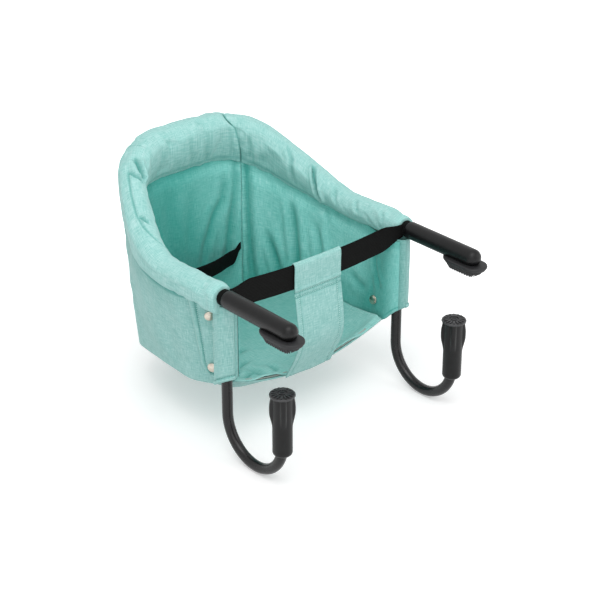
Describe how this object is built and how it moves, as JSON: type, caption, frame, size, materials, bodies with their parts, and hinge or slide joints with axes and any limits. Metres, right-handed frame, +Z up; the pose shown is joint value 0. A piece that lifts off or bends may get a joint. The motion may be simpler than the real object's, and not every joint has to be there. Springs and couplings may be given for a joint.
{
  "type": "hook-on table chair",
  "caption": "Hook-on table chair: a padded cloth bucket seat on a bent tube hoop, with arms that rest on a table top, J-shaped hooks and winged screw clamps that press up below it.",
  "frame": {"origin": "midway between the two clamps, on the plane of the table top", "axes": "+Z up, -Y along the arms over the table, +X to the right as seen from the front"},
  "size_m": [0.39, 0.4955, 0.3819],
  "materials": {
    "mint_cloth": "melange weave",
    "lining_cloth": "melange weave",
    "webbing": "woven webbing",
    "black_steel": "satin powder coat",
    "black_plastic": "satin",
    "black_rubber": "matt",
    "zinc": "zinc plated",
    "nickel": "bright nickel",
    "board": "plain"
  },
  "bodies": {
    "frame": {"hoop_tube": "black_steel", "rim_pad_left": "mint_cloth", "rim_pad_back": "mint_cloth", "rim_pad_right": "mint_cloth", "back_panel": "mint_cloth", "back_lining": "mint_cloth", "seat_base": "mint_cloth", "seat_lining": "lining_cloth", "seat_board": "board", "front_belt": "webbing", "crotch_tab": "mint_cloth", "waist_belt": "webbing", "left_hook_bracket": "zinc", "left_bracket_screw": "zinc", "left_arm_sleeve": "black_plastic", "left_arm_pad": "black_rubber", "left_side_panel": "mint_cloth", "left_side_lining": "mint_cloth", "left_upper_snap_stud": "nickel", "left_lower_snap_stud": "nickel", "right_hook_bracket": "zinc", "right_bracket_screw": "zinc", "right_arm_sleeve": "black_plastic", "right_arm_pad": "black_rubber", "right_side_panel": "mint_cloth", "right_side_lining": "mint_cloth", "right_upper_snap_stud": "nickel", "right_lower_snap_stud": "nickel"},
    "left_hook": {"left_hook_tube": "black_steel", "left_hook_collar": "zinc", "left_threaded_rod": "zinc"},
    "left_clamp": {"left_clamp_pad": "black_rubber", "left_pad_screw": "zinc"},
    "left_knob": {"left_knob": "black_plastic", "left_knob_nut": "zinc"},
    "left_flap": {"left_corner_flap": "mint_cloth", "left_upper_snap_cap": "nickel", "left_lower_snap_cap": "nickel"},
    "right_hook": {"right_hook_tube": "black_steel", "right_hook_collar": "zinc", "right_threaded_rod": "zinc"},
    "right_clamp": {"right_clamp_pad": "black_rubber", "right_pad_screw": "zinc"},
    "right_knob": {"right_knob": "black_plastic", "right_knob_nut": "zinc"},
    "right_flap": {"right_corner_flap": "mint_cloth", "right_upper_snap_cap": "nickel", "right_lower_snap_cap": "nickel"}
  },
  "joints": [
    {"name": "left_hook_swivel", "type": "hinge", "parent": "frame", "child": "left_hook", "pos_m": [-0.167, 0.121, -0.018], "axis": [0, 0, 1], "range_deg": [0, 60]},
    {"name": "left_clamp_lift", "type": "slide", "parent": "left_hook", "child": "left_clamp", "axis": [0, 0, 1], "range_m": [0, 0.056]},
    {"name": "left_knob_turn", "type": "hinge", "parent": "left_clamp", "child": "left_knob", "pos_m": [-0.167, 0, -0.13], "axis": [0, 0, 1], "range_deg": [0, 4032]},
    {"name": "left_flap_open", "type": "hinge", "parent": "frame", "child": "left_flap", "pos_m": [-0.167, 0.1015, -0.058], "axis": [0, 0, 1], "range_deg": [0, 100]},
    {"name": "right_hook_swivel", "type": "hinge", "parent": "frame", "child": "right_hook", "pos_m": [0.167, 0.121, -0.018], "axis": [0, 0, -1], "range_deg": [0, 60]},
    {"name": "right_clamp_lift", "type": "slide", "parent": "right_hook", "child": "right_clamp", "axis": [0, 0, 1], "range_m": [0, 0.056]},
    {"name": "right_knob_turn", "type": "hinge", "parent": "right_clamp", "child": "right_knob", "pos_m": [0.167, 0, -0.13], "axis": [0, 0, 1], "range_deg": [0, 4032]},
    {"name": "right_flap_open", "type": "hinge", "parent": "frame", "child": "right_flap", "pos_m": [0.167, 0.1015, -0.058], "axis": [0, 0, -1], "range_deg": [0, 100]}
  ],
  "couplings": [
    {"joint": "left_knob_turn", "follows": "left_clamp_lift", "rad_per_m": 1256.6},
    {"joint": "right_knob_turn", "follows": "right_clamp_lift", "rad_per_m": 1256.6}
  ]
}
